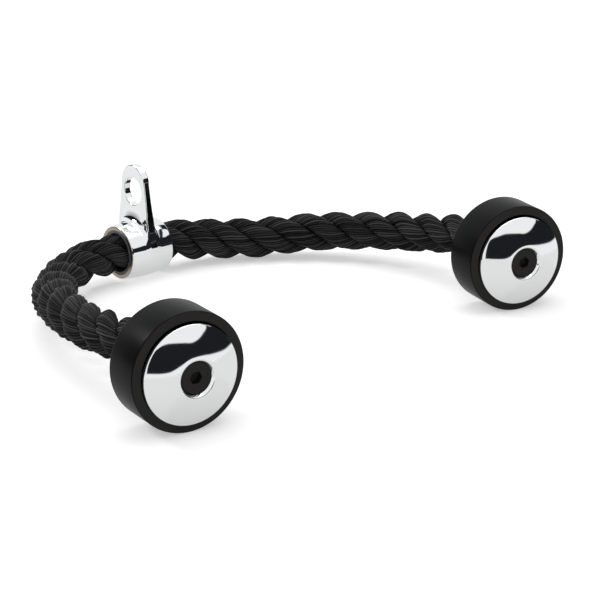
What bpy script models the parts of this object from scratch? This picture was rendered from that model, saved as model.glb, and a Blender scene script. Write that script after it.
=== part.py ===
"""Cable handle: a laid rope through a chromed hanger, with a bumper, a domed disc and a screw on each end.

Metres, +Z up. The hanger's collar lies along X, and both ends point roughly towards -Y. The collar and the
two bumpers rest on the floor, z = 0. The origin is at the middle of the floor under the hanger and the ends.
"""

import math

import bmesh
import bpy
from mathutils import Matrix, Vector

# Gap between pieces that touch, how far a cutter runs past what it cuts, and which points count as one.
CLEARANCE = 0.0003
OVERRUN = 0.004
MERGE_DISTANCE = 0.00001

# The rope, its straight run at each end of a free stretch, and the hand-chosen points that each free stretch
# runs through: x and y from the collar's centre, z from the floor.
ROPE_DIAMETER = 0.0318
ROPE_POINT_SPACING = 0.016
ROPE_STRAIGHT = 0.008
LEFT_ROUTE = (
    (-0.0658, -0.0066, 0.0238),
    (-0.1041, -0.0353, 0.0259),
    (-0.1334, -0.0730, 0.0285),
    (-0.1541, -0.1161, 0.0313),
    (-0.1658, -0.1625, 0.0350),
    (-0.1700, -0.2100, 0.0392),
)
RIGHT_ROUTE = (
    (0.0689, -0.0071, 0.0195),
    (0.1105, -0.0309, 0.0181),
    (0.1473, -0.0612, 0.0226),
    (0.1732, -0.1011, 0.0273),
    (0.1871, -0.1465, 0.0331),
    (0.1902, -0.1936, 0.0405),
)

# Where the rope goes into each bumper, and the way that end points, in degrees about +Z from +X.
LEFT_END_PLACE = (-0.1729, -0.2634)
LEFT_END_HEADING = -99.1
RIGHT_END_PLACE = (0.1802, -0.2390)
RIGHT_END_HEADING = -106.6

# Where each arm's bend is centred, out from the collar's mouth.
BEND_REACH = 0.030

# The hanger's collar and its plastic liner. The collar's wall is measured at its mouths, and is thicker by
# the crown halfway between them.
COLLAR_LENGTH = 0.042
COLLAR_WALL = 0.0032
COLLAR_CROWN = 0.0018
COLLAR_EDGE_RADIUS = 0.0013
COLLAR_LIP_WIDTH = 0.0009
COLLAR_LIP_HEIGHT = 0.0006
LINER_WALL = 0.0025

# The eyelet plate, with heights from the collar's axis.
PLATE_THICKNESS = 0.0060
PLATE_TOP_RADIUS = 0.0153
PLATE_TOP_CENTRE_HEIGHT = 0.0565
PLATE_EDGE_RADIUS = 0.0012
PLATE_FOOT_HEIGHT = 0.0090
PLATE_SIDE_COVER = 0.0006
EYELET_DIAMETER = 0.0226
EYELET_HEIGHT = 0.0496
WELD_SIZE = 0.0045
WELD_SWEEP = 60
WELD_RIM_GAP = 0.0009

# The rubber bumper.
BUMPER_DIAMETER = 0.0850
BUMPER_LENGTH = 0.0329
BUMPER_EDGE_RADIUS = 0.0015
BUMPER_REAR_LIP = 0.0020

# The domed disc, with heights from the bumper's front face.
DISC_DIAMETER = 0.0715
DISC_SEAT_DEPTH = 0.0070
DISC_RIM_HEIGHT = 0.0030
DISC_RIM_RADIUS = 0.0015
DOME_HEIGHT = 0.0119
COUNTERBORE_DIAMETER = 0.0250
COUNTERBORE_LIP_RADIUS = 0.0009
DISC_SKIRT_WALL = 0.0040
DISC_HUB_WALL = 0.0045
DISC_HOLLOW_DEPTH = 0.0050

# The countersunk screw.
HEAD_DIAMETER = 0.0240
HEAD_LAND = 0.0006
HEAD_DEPTH = 0.0039
HEAD_EDGE_CHAMFER = 0.0003
THREAD_DIAMETER = 0.0120
SCREW_TIP_CHAMFER = 0.0010
SCREW_TIP_GAP = 0.0005
SOCKET_ACROSS_FLATS = 0.0080
SOCKET_DEPTH = 0.0048

# What the screw pulls together inside the bumper.
WASHER_DIAMETER = 0.0440
WASHER_THICKNESS = 0.0017
FERRULE_WALL = 0.0022
FERRULE_FRONT_WALL = 0.0085
WHIPPING_WIDTH = 0.0070
WHIPPING_THICKNESS = 0.0006

# Faces round a turned piece, sides of an arc's fillet, and points along larger arcs.
TURNED_STEPS = 40
CROWN_STEPS = 8
HIDDEN_STEPS = 24
FILLET_STEPS = 3
DOME_STEPS = 8
TOP_ARC_STEPS = 16
ROUND_HOLE_STEPS = 32
ROUTE_STEPS = 400
HEX_SIDES = 6

# Edges that turn by more degrees than this are shaded sharp.
SHARP_EDGE_ANGLE = 35

# Radii and heights that follow from the sizes above.
ROPE_RADIUS = ROPE_DIAMETER / 2
LINER_BORE_RADIUS = ROPE_RADIUS + CLEARANCE
LINER_RADIUS = LINER_BORE_RADIUS + LINER_WALL
COLLAR_BORE_RADIUS = LINER_RADIUS + CLEARANCE
COLLAR_RADIUS = COLLAR_BORE_RADIUS + COLLAR_WALL
CROWN_RADIUS = COLLAR_RADIUS + COLLAR_CROWN
BUMPER_RADIUS = BUMPER_DIAMETER / 2
DISC_RADIUS = DISC_DIAMETER / 2
FERRULE_BORE_RADIUS = ROPE_RADIUS + CLEARANCE
FERRULE_RADIUS = FERRULE_BORE_RADIUS + FERRULE_WALL
WASHER_RADIUS = WASHER_DIAMETER / 2
HEAD_RADIUS = HEAD_DIAMETER / 2
THREAD_RADIUS = THREAD_DIAMETER / 2
SCREW_HOLE_RADIUS = THREAD_RADIUS + CLEARANCE
COUNTERBORE_RADIUS = COUNTERBORE_DIAMETER / 2

# The stack along each end's axis, measured from the bumper's rear face.
DISC_SEAT = BUMPER_LENGTH - DISC_SEAT_DEPTH
DISC_REAR = DISC_SEAT + CLEARANCE
WASHER_FRONT = DISC_REAR - CLEARANCE
WASHER_REAR = WASHER_FRONT - WASHER_THICKNESS
FERRULE_FRONT = WASHER_REAR - CLEARANCE
FERRULE_REAR = BUMPER_REAR_LIP + CLEARANCE
FERRULE_INNER_FACE = FERRULE_FRONT - FERRULE_FRONT_WALL
ROPE_END_FRONT = FERRULE_INNER_FACE - CLEARANCE
DISC_LIP = BUMPER_LENGTH + DOME_HEIGHT
HEAD_TOP = DISC_LIP - HEAD_DEPTH
SCREW_TIP = FERRULE_INNER_FACE + SCREW_TIP_GAP
CONE_HEIGHT = HEAD_RADIUS - THREAD_RADIUS


def clear_scene():
    for obj in list(bpy.data.objects):
        bpy.data.objects.remove(obj, do_unlink=True)


def new_collection(name):
    found = bpy.data.collections.new(name)
    bpy.context.scene.collection.children.link(found)
    return found


def new_material(name, colour, roughness, metallic=0.0):
    material = bpy.data.materials.new(name)
    material.use_nodes = True
    shader = material.node_tree.nodes["Principled BSDF"]
    shader.inputs["Base Color"].default_value = (*colour, 1.0)
    shader.inputs["Roughness"].default_value = roughness
    shader.inputs["Metallic"].default_value = metallic
    return material


def add_object(name, data, material, parent, collection):
    obj = bpy.data.objects.new(name, data)
    collection.objects.link(obj)
    obj.parent = parent
    if material:
        data.materials.append(material)
    return obj


def add_empty(name, parent, location, collection, turn=None):
    empty = bpy.data.objects.new(name, None)
    collection.objects.link(empty)
    empty.parent = parent
    empty.location = location
    if turn is not None:
        empty.rotation_euler = turn
    return empty


def rounded(corners):
    """Points of a closed outline through (x, y, fillet radius) corners, each fillet a short arc."""
    points = []
    for i, (x, y, radius) in enumerate(corners):
        corner = Vector((x, y))
        if radius == 0:
            points.append(corner)
            continue
        before = (Vector(corners[i - 1][:2]) - corner).normalized()
        after = (Vector(corners[(i + 1) % len(corners)][:2]) - corner).normalized()
        half = before.angle(after) / 2
        reach = radius / math.tan(half)
        centre = corner + (before + after).normalized() * (radius / math.sin(half))
        start = corner + before * reach - centre
        sweep = start.angle_signed(corner + after * reach - centre)
        for step in range(FILLET_STEPS + 1):
            turn = Matrix.Rotation(-sweep * step / FILLET_STEPS, 2)
            points.append(centre + turn @ start)
    return [(point.x, point.y) for point in points]


def turned(name, outline, material, parent, collection, steps=TURNED_STEPS):
    """A solid turned about local Z, from a closed outline of (radius, height) or one from axis to axis."""
    mesh = bpy.data.meshes.new(name)
    on_axis = outline[0][0] == 0
    count = len(outline)
    edges = [(i, (i + 1) % count) for i in range(count - on_axis)]
    mesh.from_pydata([(radius, 0, height) for radius, height in outline], edges, [])
    obj = add_object(name, mesh, material, parent, collection)
    screw = obj.modifiers.new("Turn", "SCREW")
    screw.axis = "Z"
    screw.angle = math.tau
    screw.steps = steps
    screw.render_steps = steps
    screw.use_merge_vertices = True
    screw.merge_threshold = MERGE_DISTANCE
    return meshed(obj, collection)


def as_cutter(obj):
    """The object itself, set to be seen as wires and left out of renders."""
    obj.hide_render = True
    obj.display_type = "WIRE"
    return obj


def add_prism(name, radius, low, high, sides, parent, collection):
    """A cutter: a prism along local Z with its corners at this radius."""
    mesh = bpy.data.meshes.new(name)
    form = bmesh.new()
    place = Matrix.Translation((0, 0, (low + high) / 2))
    bmesh.ops.create_cone(
        form, cap_ends=True, segments=sides, radius1=radius, radius2=radius, depth=high - low, matrix=place
    )
    form.to_mesh(mesh)
    form.free()
    return as_cutter(add_object(name, mesh, None, parent, collection))


def add_box(name, low, high, parent, collection):
    """A cutter: a box between two corners."""
    mesh = bpy.data.meshes.new(name)
    form = bmesh.new()
    low, high = Vector(low), Vector(high)
    place = Matrix.Translation((low + high) / 2) @ Matrix.Diagonal((*(high - low), 1))
    bmesh.ops.create_cube(form, size=1, matrix=place)
    form.to_mesh(mesh)
    form.free()
    return as_cutter(add_object(name, mesh, None, parent, collection))


def combine(obj, other, operation):
    boolean = obj.modifiers.new(operation.title(), "BOOLEAN")
    boolean.operation = operation
    boolean.solver = "EXACT"
    boolean.object = other


def meshed(source, collection):
    """The solid of an outline or a curve as a mesh object of the same name, smooth but for its edges."""
    bpy.context.view_layer.update()
    evaluated = source.evaluated_get(bpy.context.evaluated_depsgraph_get())
    mesh = bpy.data.meshes.new_from_object(evaluated)
    form = bmesh.new()
    form.from_mesh(mesh)
    bmesh.ops.remove_doubles(form, verts=form.verts, dist=MERGE_DISTANCE)
    bmesh.ops.recalc_face_normals(form, faces=form.faces)
    form.to_mesh(mesh)
    form.free()
    mesh.shade_smooth()
    mesh.set_sharp_from_angle(angle=math.radians(SHARP_EDGE_ANGLE))
    name, parent, place = source.name, source.parent, source.matrix_basis.copy()
    bpy.data.objects.remove(source, do_unlink=True)
    obj = bpy.data.objects.new(name, mesh)
    collection.objects.link(obj)
    obj.parent = parent
    obj.matrix_basis = place
    return obj


def smooth_route(points, start_way, end_way):
    """Close points on a smooth curve through the route's own points, with both end directions given."""
    points = [Vector(point) for point in points]
    last = len(points) - 1
    steps = [(points[i + 1] - points[i]).length for i in range(last)]
    slopes = [Vector(start_way)]
    for i in range(1, last):
        before = (points[i] - points[i - 1]) / steps[i - 1]
        after = (points[i + 1] - points[i]) / steps[i]
        slopes.append((before * steps[i] + after * steps[i - 1]) / (steps[i - 1] + steps[i]))
    slopes.append(Vector(end_way))
    found = []
    per_step = ROUTE_STEPS // last
    for i in range(last):
        for k in range(per_step):
            t = k / per_step
            rise = t * t * (3 - 2 * t)
            leave = t * (1 - t) * (1 - t) * steps[i]
            arrive = t * t * (t - 1) * steps[i]
            between = points[i].lerp(points[i + 1], rise)
            found.append(between + slopes[i] * leave + slopes[i + 1] * arrive)
    found.append(points[last])
    return found


def evenly(points, spacing):
    """The same route at even steps of about the given spacing, its ends kept."""
    run = [0.0]
    for before, after in zip(points, points[1:]):
        run.append(run[-1] + (after - before).length)
    count = max(2, round(run[-1] / spacing))
    found = []
    at = 0
    for k in range(count + 1):
        goal = run[-1] * k / count
        while at < len(points) - 2 and run[at + 1] < goal:
            at += 1
        share = (goal - run[at]) / (run[at + 1] - run[at])
        found.append(points[at].lerp(points[at + 1], share))
    return found


def add_rope(name, points, material, parent, collection):
    """A free stretch of rope: a plain tube along the points, which are in the parent's frame."""
    curve = bpy.data.curves.new(name, "CURVE")
    curve.dimensions = "3D"
    curve.bevel_depth = ROPE_RADIUS
    curve.bevel_resolution = 3
    curve.use_fill_caps = True
    spline = curve.splines.new("POLY")
    spline.points.add(len(points) - 1)
    for slot, point in zip(spline.points, points):
        slot.co = (*point, 1)
    return add_object(name, curve, material, parent, collection)


def make_liner(material, parent, collection):
    half = COLLAR_LENGTH / 2 - COLLAR_LIP_WIDTH - CLEARANCE
    outline = [
        (LINER_RADIUS, half),
        (LINER_RADIUS, -half),
        (LINER_BORE_RADIUS, -half),
        (LINER_BORE_RADIUS, half),
    ]
    return turned("collar_liner", outline, material, parent, collection)


def crown_line(extra):
    """(radius, height) points along the collar's crowned outside, mouth to mouth, with extra added all along."""
    half = COLLAR_LENGTH / 2
    points = []
    for step in range(CROWN_STEPS + 1):
        share = 1 - 2 * step / CROWN_STEPS
        points.append((CROWN_RADIUS - COLLAR_CROWN * share**2 + extra, half * share))
    return points


def make_collar(material, parent, collection):
    """The crowned collar, with a small lip at each mouth that keeps the liner in."""
    half = COLLAR_LENGTH / 2
    lip_radius = COLLAR_BORE_RADIUS - COLLAR_LIP_HEIGHT
    inner = half - COLLAR_LIP_WIDTH
    crown = [(radius, height, 0) for radius, height in crown_line(0)]
    outline = rounded(
        [
            (COLLAR_RADIUS, half, COLLAR_EDGE_RADIUS),
            *crown[1:-1],
            (COLLAR_RADIUS, -half, COLLAR_EDGE_RADIUS),
            (lip_radius, -half, 0),
            (lip_radius, -inner, 0),
            (COLLAR_BORE_RADIUS, -inner, 0),
            (COLLAR_BORE_RADIUS, inner, 0),
            (lip_radius, inner, 0),
            (lip_radius, half, 0),
        ]
    )
    return turned("hanger_collar", outline, material, parent, collection)


def plate_outline():
    """The plate's outer outline: an arc on top, and straight sides that touch a circle about the collar's axis."""
    foot_radius = COLLAR_RADIUS + PLATE_SIDE_COVER
    lean = math.asin((foot_radius - PLATE_TOP_RADIUS) / PLATE_TOP_CENTRE_HEIGHT)
    points = []
    for step in range(TOP_ARC_STEPS + 1):
        angle = lean + (math.pi - 2 * lean) * step / TOP_ARC_STEPS
        height = PLATE_TOP_CENTRE_HEIGHT + PLATE_TOP_RADIUS * math.sin(angle)
        points.append((PLATE_TOP_RADIUS * math.cos(angle), height))
    for angle in (math.pi - lean, lean):
        points.append((foot_radius * math.cos(angle), foot_radius * math.sin(angle)))
    return points


def flat_solid(name, outlines, thickness, edge_radius, inset, parent, collection):
    """A flat solid across local Z from 2D outlines, the first one outside, as a mesh."""
    curve = bpy.data.curves.new(name, "CURVE")
    curve.dimensions = "2D"
    curve.fill_mode = "BOTH"
    curve.extrude = thickness / 2 - edge_radius
    curve.bevel_depth = edge_radius
    curve.bevel_resolution = 1
    curve.offset = -inset
    for points in outlines:
        spline = curve.splines.new("POLY")
        spline.points.add(len(points) - 1)
        for slot, (across, height) in zip(spline.points, points):
            slot.co = (across, height, 0, 1)
        spline.use_cyclic_u = True
    return meshed(add_object(name, curve, None, parent, collection), collection)


def make_weld(parent, collection):
    """The weld: a ring round the collar with hollow sides, which ends short of the plate's rim."""
    half = PLATE_THICKNESS / 2 - PLATE_EDGE_RADIUS
    inner = COLLAR_RADIUS - COLLAR_WALL / 2
    outer = CROWN_RADIUS + WELD_SIZE
    side = []
    for step in range(1, FILLET_STEPS + 1):
        angle = math.radians(WELD_SWEEP) * step / FILLET_STEPS
        side.append((outer - WELD_SIZE * math.sin(angle), half + WELD_SIZE * (1 - math.cos(angle))))
    toe = side[-1][1]
    outline = [(outer, half), (outer, -half)]
    outline += [(radius, -height) for radius, height in side]
    outline += [(inner, -toe), (inner, toe)]
    outline += reversed(side)
    weld = turned("weld_form", outline, None, parent, collection)
    deep = 2 * (toe + OVERRUN)
    inset = PLATE_EDGE_RADIUS + WELD_RIM_GAP
    limit = flat_solid("weld_limit", [plate_outline()], deep, 0, inset, parent, collection)
    combine(weld, as_cutter(limit), "INTERSECT")
    return as_cutter(weld)


def make_plate(material, parent, parts, cutters):
    """The upright eyelet plate with its weld and hole. Local Z is the collar's axis, and local Y is up."""
    hole = []
    for step in range(ROUND_HOLE_STEPS):
        angle = math.tau * step / ROUND_HOLE_STEPS
        radius = EYELET_DIAMETER / 2
        hole.append((radius * math.cos(angle), EYELET_HEIGHT + radius * math.sin(angle)))
    outlines = [plate_outline(), hole]
    edge = PLATE_EDGE_RADIUS
    plate = flat_solid("eyelet_plate", outlines, PLATE_THICKNESS, edge, edge, parent, parts)
    plate.data.materials.append(material)

    reach = CROWN_RADIUS + WELD_SIZE + OVERRUN
    depth = PLATE_THICKNESS / 2 + WELD_SIZE + OVERRUN
    low, high = (-reach, -reach, -depth), (reach, PLATE_FOOT_HEIGHT, depth)
    foot_cut = add_box("plate_foot_cut", low, high, parent, cutters)
    half = COLLAR_LENGTH / 2
    outline = [(0, half), *crown_line(CLEARANCE), (0, -half)]
    collar_cut = as_cutter(turned("collar_cut", outline, None, parent, cutters))
    combine(plate, make_weld(parent, cutters), "UNION")
    combine(plate, foot_cut, "DIFFERENCE")
    combine(plate, collar_cut, "DIFFERENCE")
    return plate


def make_bumper(name, material, parent, collection):
    outline = rounded(
        [
            (BUMPER_RADIUS, BUMPER_LENGTH, BUMPER_EDGE_RADIUS),
            (BUMPER_RADIUS, 0, BUMPER_EDGE_RADIUS),
            (ROPE_RADIUS + CLEARANCE, 0, 0),
            (ROPE_RADIUS + CLEARANCE, BUMPER_REAR_LIP, 0),
            (FERRULE_RADIUS + CLEARANCE, BUMPER_REAR_LIP, 0),
            (FERRULE_RADIUS + CLEARANCE, FERRULE_FRONT, 0),
            (WASHER_RADIUS + CLEARANCE, FERRULE_FRONT, 0),
            (WASHER_RADIUS + CLEARANCE, DISC_SEAT, 0),
            (DISC_RADIUS + CLEARANCE, DISC_SEAT, 0),
            (DISC_RADIUS + CLEARANCE, BUMPER_LENGTH, 0),
        ]
    )
    return turned(name, outline, material, parent, collection)


def make_disc(name, material, parent, collection):
    """The domed disc: a round front from rim to counterbore, a countersunk hole, and a hollow back."""
    rim = BUMPER_LENGTH + DISC_RIM_HEIGHT
    lip_radius = COUNTERBORE_RADIUS
    centre = ((rim**2 + DISC_RADIUS**2) - (DISC_LIP**2 + lip_radius**2)) / (2 * (rim - DISC_LIP))
    dome_radius = math.hypot(lip_radius, DISC_LIP - centre)
    low = math.asin(DISC_RADIUS / dome_radius)
    high = math.asin(lip_radius / dome_radius)
    corners = [(lip_radius, DISC_LIP, COUNTERBORE_LIP_RADIUS)]
    for step in range(1, DOME_STEPS):
        angle = high + (low - high) * step / DOME_STEPS
        corners.append((dome_radius * math.sin(angle), centre + dome_radius * math.cos(angle), 0))
    seat = HEAD_TOP - HEAD_LAND - CLEARANCE
    hub_radius = SCREW_HOLE_RADIUS + DISC_HUB_WALL
    skirt_radius = DISC_RADIUS - DISC_SKIRT_WALL
    corners += [
        (DISC_RADIUS, rim, DISC_RIM_RADIUS),
        (DISC_RADIUS, DISC_REAR, 0),
        (skirt_radius, DISC_REAR, 0),
        (skirt_radius, DISC_REAR + DISC_HOLLOW_DEPTH, 0),
        (hub_radius, DISC_REAR + DISC_HOLLOW_DEPTH, 0),
        (hub_radius, DISC_REAR, 0),
        (SCREW_HOLE_RADIUS, DISC_REAR, 0),
        (SCREW_HOLE_RADIUS, seat - (lip_radius - SCREW_HOLE_RADIUS), 0),
        (lip_radius, seat, 0),
    ]
    return turned(name, rounded(corners), material, parent, collection)


def make_screw(name, material, parent, parts, cutters):
    """A countersunk screw with its head to the front, and a hexagon socket in it."""
    land = HEAD_TOP - HEAD_LAND
    outline = [
        (0, HEAD_TOP),
        (HEAD_RADIUS - HEAD_EDGE_CHAMFER, HEAD_TOP),
        (HEAD_RADIUS, HEAD_TOP - HEAD_EDGE_CHAMFER),
        (HEAD_RADIUS, land),
        (THREAD_RADIUS, land - CONE_HEIGHT),
        (THREAD_RADIUS, SCREW_TIP + SCREW_TIP_CHAMFER),
        (THREAD_RADIUS - SCREW_TIP_CHAMFER, SCREW_TIP),
        (0, SCREW_TIP),
    ]
    screw = turned(name, outline, material, parent, parts)
    corner_radius = SOCKET_ACROSS_FLATS / 2 / math.cos(math.pi / HEX_SIDES)
    low, high = HEAD_TOP - SOCKET_DEPTH, HEAD_TOP + OVERRUN
    socket = add_prism(name + "_socket_cut", corner_radius, low, high, HEX_SIDES, parent, cutters)
    combine(screw, socket, "DIFFERENCE")
    return screw


def make_washer(name, material, parent, collection):
    outline = [
        (WASHER_RADIUS, WASHER_FRONT),
        (WASHER_RADIUS, WASHER_REAR),
        (SCREW_HOLE_RADIUS, WASHER_REAR),
        (SCREW_HOLE_RADIUS, WASHER_FRONT),
    ]
    return turned(name, outline, material, parent, collection, HIDDEN_STEPS)


def make_ferrule(name, material, parent, collection):
    """The sleeve crimped on the rope's end, with a thick front that the screw threads into."""
    outline = [
        (FERRULE_RADIUS, FERRULE_FRONT),
        (FERRULE_RADIUS, FERRULE_REAR),
        (FERRULE_BORE_RADIUS, FERRULE_REAR),
        (FERRULE_BORE_RADIUS, FERRULE_INNER_FACE),
        (SCREW_HOLE_RADIUS, FERRULE_INNER_FACE),
        (SCREW_HOLE_RADIUS, FERRULE_FRONT),
    ]
    return turned(name, outline, material, parent, collection, HIDDEN_STEPS)


def make_rope_end(name, material, parent, collection):
    """The stretch of rope that the bumper and the ferrule hold, drawn in where its whipping goes."""
    waist = ROPE_RADIUS - WHIPPING_THICKNESS - CLEARANCE
    shoulder = ROPE_END_FRONT - WHIPPING_WIDTH - CLEARANCE
    outline = [
        (0, ROPE_END_FRONT),
        (waist, ROPE_END_FRONT),
        (waist, shoulder),
        (ROPE_RADIUS, shoulder),
        (ROPE_RADIUS, 0),
        (0, 0),
    ]
    return turned(name, outline, material, parent, collection, HIDDEN_STEPS)


def make_whipping(name, material, parent, collection):
    inner = ROPE_RADIUS - WHIPPING_THICKNESS
    rear = ROPE_END_FRONT - WHIPPING_WIDTH
    outline = [
        (ROPE_RADIUS, ROPE_END_FRONT),
        (ROPE_RADIUS, rear),
        (inner, rear),
        (inner, ROPE_END_FRONT),
    ]
    return turned(name, outline, material, parent, collection, HIDDEN_STEPS)


def make_rope_middle(material, parent, collection):
    """The stretch of rope inside the collar."""
    half = COLLAR_LENGTH / 2
    outline = [(0, half), (ROPE_RADIUS, half), (ROPE_RADIUS, -half), (0, -half)]
    return turned("rope_middle", outline, material, parent, collection, HIDDEN_STEPS)


def make_arm(side, sign, place, heading, route, root, parts, cutters, materials):
    """One arm: its free rope and the whole end fitting, on an empty at the middle of the arm's bend."""
    bend = Vector((sign * (COLLAR_LENGTH / 2 + BEND_REACH), 0, CROWN_RADIUS))
    arm = add_empty("arm_" + side, root, bend, parts)
    way = Vector((math.cos(math.radians(heading)), math.sin(math.radians(heading)), 0))
    rear = Vector((*place, BUMPER_RADIUS))
    turn = (0, math.pi / 2, math.radians(heading))
    end = add_empty("end_" + side, arm, rear - bend, parts, turn)

    out = Vector((sign, 0, 0))
    mouth = Vector((sign * (COLLAR_LENGTH / 2 + CLEARANCE), 0, CROWN_RADIUS))
    finish = rear - way * CLEARANCE
    curved = smooth_route([mouth + out * ROPE_STRAIGHT, *route, finish - way * ROPE_STRAIGHT], out, way)
    line = [mouth, *evenly(curved, ROPE_POINT_SPACING), finish]
    pieces = [
        make_bumper("bumper_" + side, materials["rubber"], end, parts),
        make_disc("cover_disc_" + side, materials["chrome"], end, parts),
        make_screw("disc_screw_" + side, materials["black_steel"], end, parts, cutters),
        make_washer("clamp_washer_" + side, materials["steel"], end, parts),
        make_ferrule("end_ferrule_" + side, materials["steel"], end, parts),
        make_rope_end("rope_end_" + side, materials["rope"], end, parts),
        make_whipping("whipping_" + side, materials["tape"], end, parts),
    ]
    add_rope("rope_" + side, [point - bend for point in line], materials["rope"], arm, parts)
    return pieces


def make_hanger(root, parts, cutters, materials):
    """Collar, plate, liner and the rope inside, about the collar's axis. Local Z is world X, and Y is up."""
    turn = Matrix(((0, 0, 1), (1, 0, 0), (0, 1, 0))).to_euler()
    axis = add_empty("hanger_axis", root, (0, 0, CROWN_RADIUS), parts, turn)
    return [
        make_collar(materials["chrome"], axis, parts),
        make_plate(materials["chrome"], axis, parts, cutters),
        make_liner(materials["liner"], axis, parts),
        make_rope_middle(materials["rope"], axis, parts),
    ]


def centre_on_floor(root, pieces):
    """Moves the whole part so that the pieces' box stands on the origin, at its middle."""
    bpy.context.view_layer.update()
    graph = bpy.context.evaluated_depsgraph_get()
    points = []
    for obj in pieces:
        evaluated = obj.evaluated_get(graph)
        points += [evaluated.matrix_world @ vertex.co for vertex in evaluated.to_mesh().vertices]
        evaluated.to_mesh_clear()
    low = Vector([min(point[i] for point in points) for i in range(3)])
    high = Vector([max(point[i] for point in points) for i in range(3)])
    root.location = (-(low.x + high.x) / 2, -(low.y + high.y) / 2, -low.z)


def main():
    clear_scene()
    parts = new_collection("cable_handle")
    cutters = new_collection("cutters")
    materials = {
        "rope": new_material("rope", (0.022, 0.022, 0.024), 0.75),
        "chrome": new_material("chrome", (0.86, 0.87, 0.88), 0.06, 1.0),
        "liner": new_material("liner", (0.090, 0.110, 0.130), 0.50),
        "rubber": new_material("rubber", (0.024, 0.024, 0.026), 0.45),
        "black_steel": new_material("black_steel", (0.026, 0.024, 0.022), 0.40, 0.6),
        "steel": new_material("steel", (0.55, 0.55, 0.56), 0.35, 1.0),
        "tape": new_material("tape", (0.035, 0.035, 0.037), 0.60),
    }
    root = add_empty("cable_handle_root", None, (0, 0, 0), parts)
    pieces = make_hanger(root, parts, cutters, materials)
    pieces += make_arm(
        "left", -1, LEFT_END_PLACE, LEFT_END_HEADING, LEFT_ROUTE, root, parts, cutters, materials
    )
    pieces += make_arm(
        "right", 1, RIGHT_END_PLACE, RIGHT_END_HEADING, RIGHT_ROUTE, root, parts, cutters, materials
    )
    centre_on_floor(root, pieces)


main()
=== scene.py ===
"""Looks of the cable handle: rope, chromed hanger and discs, rubber bumpers, and the studio around them."""

import math

import bmesh
import bpy
import numpy as np
from mathutils import Matrix, Vector


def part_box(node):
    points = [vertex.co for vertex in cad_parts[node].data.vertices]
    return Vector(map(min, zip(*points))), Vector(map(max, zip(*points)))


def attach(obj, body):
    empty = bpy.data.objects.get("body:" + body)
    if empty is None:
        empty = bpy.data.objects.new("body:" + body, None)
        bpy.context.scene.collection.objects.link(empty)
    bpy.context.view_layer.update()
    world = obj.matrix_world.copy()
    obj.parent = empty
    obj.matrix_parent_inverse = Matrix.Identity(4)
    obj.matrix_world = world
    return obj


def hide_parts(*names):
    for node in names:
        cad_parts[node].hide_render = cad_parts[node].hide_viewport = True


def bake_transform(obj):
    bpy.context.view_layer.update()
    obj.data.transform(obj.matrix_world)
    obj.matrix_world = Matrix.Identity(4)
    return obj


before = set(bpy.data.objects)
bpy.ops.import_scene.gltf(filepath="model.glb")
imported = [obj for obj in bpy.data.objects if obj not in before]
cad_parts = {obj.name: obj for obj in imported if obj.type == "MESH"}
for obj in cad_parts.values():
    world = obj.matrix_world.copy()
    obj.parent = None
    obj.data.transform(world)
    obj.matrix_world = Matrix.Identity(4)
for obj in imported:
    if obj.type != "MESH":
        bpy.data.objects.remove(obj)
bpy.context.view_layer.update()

MM = 0.001

# Places are counted from the hanger's collar, whose centre, radius and length come from the frame.
collar_low, collar_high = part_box("hanger_collar")
COLLAR_CENTRE = (collar_low + collar_high) / 2
COLLAR_RADIUS = (collar_high.z - collar_low.z) / 2
COLLAR_HALF = (collar_high.x - collar_low.x) / 2

# The camera, from the collar's centre in plan and from the floor, and the photograph's view.
CAMERA_PLACE = (-0.8873, -1.2078, 0.4849)
CAMERA_HEADING = 48.5
CAMERA_PITCH = -18.76
FOCAL_PIXELS = 1870.77
IMAGE_PIXELS = 600
SENSOR_WIDTH = 36
CLIP_NEAR = 0.05
CLIP_FAR = 50

# The rope and its routes, x and y from the collar's centre, z from the floor. They are the model's, but for
# the left one's heights, which follow the photograph more closely.
ROPE_DIAMETER = 31.8 * MM
ROPE_STRAIGHT = 8 * MM
ROUTES = {
    "left": (
        (-0.0658, -0.0066, 0.0228), (-0.1041, -0.0353, 0.0237), (-0.1334, -0.0730, 0.0292),
        (-0.1541, -0.1161, 0.0345), (-0.1658, -0.1625, 0.0374), (-0.1700, -0.2100, 0.0410),
    ),
    "right": (
        (0.0689, -0.0071, 0.0195), (0.1105, -0.0309, 0.0181), (0.1473, -0.0612, 0.0226),
        (0.1732, -0.1011, 0.0273), (0.1871, -0.1465, 0.0331), (0.1902, -0.1936, 0.0405),
    ),
}

# Where each rope end meets its bumper, from the collar's centre, and the heading of both, in degrees.
END_PLACE = {"left": (-0.1729, -0.2634), "right": (0.1802, -0.2390)}
END_HEADING = {"left": -99.1, "right": -106.6}
SIDES = {"left": -1, "right": 1}
CLEARANCE = 0.3 * MM

# How fine the route is, how often its kinks and the drift's are rubbed out, and the steps of the cord's path.
ROUTE_STEPS = 1600
ROUTE_PASSES = 12
DRIFT_PASSES = 60

# The lay: three strands, each of many yarns that run almost along the rope.
STRANDS = 3
STRAND_RADIUS = 9.1 * MM
STRAND_OFFSET = ROPE_DIAMETER / 2 - STRAND_RADIUS
STRAND_GAP = 0.12 * MM
STRAND_SOFTNESS = 0.16
WALL_FACING = 0.02
LAY_LENGTH = {"left": 79.5 * MM, "right": 84.9 * MM}
LAY_PHASE = {"left": 1.45, "right": 1.551}

# How far the strands lie further on than an even lay has them: distance along the arm, and share of a strand.
LAY_DRIFT = {
    "left": ((0.040, 0.0), (0.125, 0.88), (0.150, 0.92), (0.185, 1.16), (0.260, 1.21)),
    "right": ((0.000, 0.0), (0.300, 0.0)),
}

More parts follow.
